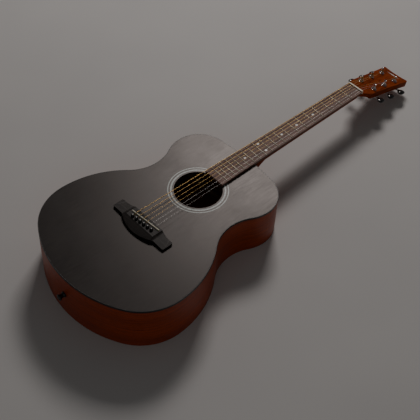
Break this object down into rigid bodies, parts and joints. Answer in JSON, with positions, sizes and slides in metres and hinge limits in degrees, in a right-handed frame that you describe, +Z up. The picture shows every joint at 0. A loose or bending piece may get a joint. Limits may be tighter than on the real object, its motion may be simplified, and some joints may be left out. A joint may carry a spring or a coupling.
{
  "type": "acoustic guitar",
  "caption": "Flat-back steel-string acoustic guitar with a round soundhole, slotted-in tuners that turn, pull-out bridge pins and its bracing inside.",
  "frame": {"origin": "on the ground plane under the middle of the whole guitar, which lies on its back", "axes": "+Z up, out of the soundboard; +Y along the neck towards the head; +X towards the treble strings"},
  "size_m": [0.388, 1.0512, 0.1254],
  "materials": {
    "soundboard_black": "satin black stain over straight grain",
    "body_mahogany": "satin red-brown mahogany",
    "neck_mahogany": "satin red-brown mahogany",
    "binding_black": "satin black edge strip",
    "inner_spruce": "bare wood",
    "inner_block_wood": "bare wood",
    "rosette_shell": "pale silvery inlay",
    "rosewood": "oiled dark brown open-grained wood",
    "bone": "polished bone",
    "pearl": "polished shell",
    "fret_wire": "polished nickel silver",
    "tuner_chrome": "bright chrome",
    "button_black": "gloss black",
    "plain_steel": "machined steel",
    "wound_bronze": "bronze winding over a steel core",
    "string_steel": "plain tinned steel",
    "pin_black": "gloss black with a pale dot",
    "strap_button_black": "gloss black"
  },
  "bodies": {
    "guitar": {"back_braces": "inner_spruce", "back_lining": "inner_spruce", "back_plate": "body_mahogany", "back_seam_strip": "inner_spruce", "bridge": "rosewood", "bridge_plate": "inner_spruce", "fingerboard": "rosewood", "frets": "fret_wire", "head_inlay": "pearl", "heel_cap": "neck_mahogany", "neck": "neck_mahogany", "neck_block": "inner_block_wood", "nut": "bone", "position_dots": "pearl", "rosette_rings": "rosette_shell", "saddle": "bone", "side_bass": "body_mahogany", "side_treble": "body_mahogany", "strap_button": "strap_button_black", "string_1": "wound_bronze", "string_2": "wound_bronze", "string_3": "wound_bronze", "string_4": "wound_bronze", "string_5": "string_steel", "string_6": "string_steel", "tail_block": "inner_block_wood", "top_binding": "binding_black", "top_braces": "inner_spruce", "top_lining": "inner_spruce", "top_plate": "soundboard_black", "truss_rod": "plain_steel", "tuner_bushings": "tuner_chrome", "tuner_housings": "tuner_chrome", "tuner_screws": "tuner_chrome"},
    "key_1": {"tuning_button_1": "button_black", "worm_shaft_1": "plain_steel"},
    "post_1": {"string_post_1": "tuner_chrome"},
    "pin_1": {"bridge_pin_1": "pin_black"},
    "key_2": {"tuning_button_2": "button_black", "worm_shaft_2": "plain_steel"},
    "post_2": {"string_post_2": "tuner_chrome"},
    "pin_2": {"bridge_pin_2": "pin_black"},
    "key_3": {"tuning_button_3": "button_black", "worm_shaft_3": "plain_steel"},
    "post_3": {"string_post_3": "tuner_chrome"},
    "pin_3": {"bridge_pin_3": "pin_black"},
    "key_4": {"tuning_button_4": "button_black", "worm_shaft_4": "plain_steel"},
    "post_4": {"string_post_4": "tuner_chrome"},
    "pin_4": {"bridge_pin_4": "pin_black"},
    "key_5": {"tuning_button_5": "button_black", "worm_shaft_5": "plain_steel"},
    "post_5": {"string_post_5": "tuner_chrome"},
    "pin_5": {"bridge_pin_5": "pin_black"},
    "key_6": {"tuning_button_6": "button_black", "worm_shaft_6": "plain_steel"},
    "post_6": {"string_post_6": "tuner_chrome"},
    "pin_6": {"bridge_pin_6": "pin_black"},
    "truss_nut": {"truss_rod_nut": "plain_steel"}
  },
  "joints": [
    {"name": "key_turn_1", "type": "hinge", "parent": "guitar", "child": "key_1", "pos_m": [-0.01657, 0.40838, 0.0479], "axis": [-1, 0, 0], "continuous": true},
    {"name": "post_turn_1", "type": "hinge", "parent": "guitar", "child": "post_1", "pos_m": [-0.0205, 0.40215, 0.04975], "axis": [0, 0.2838, 0.9589], "continuous": true},
    {"name": "pin_pull_1", "type": "slide", "parent": "guitar", "child": "pin_1", "axis": [0, 0.0434, 0.9991], "range_m": [0, 0.03]},
    {"name": "key_turn_2", "type": "hinge", "parent": "guitar", "child": "key_2", "pos_m": [-0.01657, 0.44914, 0.03584], "axis": [-1, 0, 0], "continuous": true},
    {"name": "post_turn_2", "type": "hinge", "parent": "guitar", "child": "post_2", "pos_m": [-0.0205, 0.4429, 0.03768], "axis": [0, 0.2838, 0.9589], "continuous": true},
    {"name": "pin_pull_2", "type": "slide", "parent": "guitar", "child": "pin_2", "axis": [0, 0.0434, 0.9991], "range_m": [0, 0.03]},
    {"name": "key_turn_3", "type": "hinge", "parent": "guitar", "child": "key_3", "pos_m": [-0.01657, 0.49085, 0.02349], "axis": [-1, 0, 0], "continuous": true},
    {"name": "post_turn_3", "type": "hinge", "parent": "guitar", "child": "post_3", "pos_m": [-0.0205, 0.48462, 0.02534], "axis": [0, 0.2838, 0.9589], "continuous": true},
    {"name": "pin_pull_3", "type": "slide", "parent": "guitar", "child": "pin_3", "axis": [0, 0.0434, 0.9991], "range_m": [0, 0.03]},
    {"name": "key_turn_4", "type": "hinge", "parent": "guitar", "child": "key_4", "pos_m": [0.01657, 0.49085, 0.02349], "axis": [1, 0, 0], "continuous": true},
    {"name": "post_turn_4", "type": "hinge", "parent": "guitar", "child": "post_4", "pos_m": [0.0205, 0.48462, 0.02534], "axis": [0, 0.2838, 0.9589], "continuous": true},
    {"name": "pin_pull_4", "type": "slide", "parent": "guitar", "child": "pin_4", "axis": [0, 0.0434, 0.9991], "range_m": [0, 0.03]},
    {"name": "key_turn_5", "type": "hinge", "parent": "guitar", "child": "key_5", "pos_m": [0.01657, 0.44914, 0.03584], "axis": [1, 0, 0], "continuous": true},
    {"name": "post_turn_5", "type": "hinge", "parent": "guitar", "child": "post_5", "pos_m": [0.0205, 0.4429, 0.03768], "axis": [0, 0.2838, 0.9589], "continuous": true},
    {"name": "pin_pull_5", "type": "slide", "parent": "guitar", "child": "pin_5", "axis": [0, 0.0434, 0.9991], "range_m": [0, 0.03]},
    {"name": "key_turn_6", "type": "hinge", "parent": "guitar", "child": "key_6", "pos_m": [0.01657, 0.40838, 0.0479], "axis": [1, 0, 0], "continuous": true},
    {"name": "post_turn_6", "type": "hinge", "parent": "guitar", "child": "post_6", "pos_m": [0.0205, 0.40215, 0.04975], "axis": [0, 0.2838, 0.9589], "continuous": true},
    {"name": "pin_pull_6", "type": "slide", "parent": "guitar", "child": "pin_6", "axis": [0, 0.0434, 0.9991], "range_m": [0, 0.03]},
    {"name": "truss_nut_turn", "type": "hinge", "parent": "guitar", "child": "truss_nut", "pos_m": [0, -0.02088, 0.09024], "axis": [0, 0.9991, -0.0434], "range_deg": [-180, 180]}
  ],
  "couplings": [
    {"joint": "post_turn_1", "follows": "key_turn_1", "ratio": -0.055556},
    {"joint": "post_turn_2", "follows": "key_turn_2", "ratio": -0.055556},
    {"joint": "post_turn_3", "follows": "key_turn_3", "ratio": -0.055556},
    {"joint": "post_turn_4", "follows": "key_turn_4", "ratio": 0.055556},
    {"joint": "post_turn_5", "follows": "key_turn_5", "ratio": 0.055556},
    {"joint": "post_turn_6", "follows": "key_turn_6", "ratio": 0.055556}
  ]
}
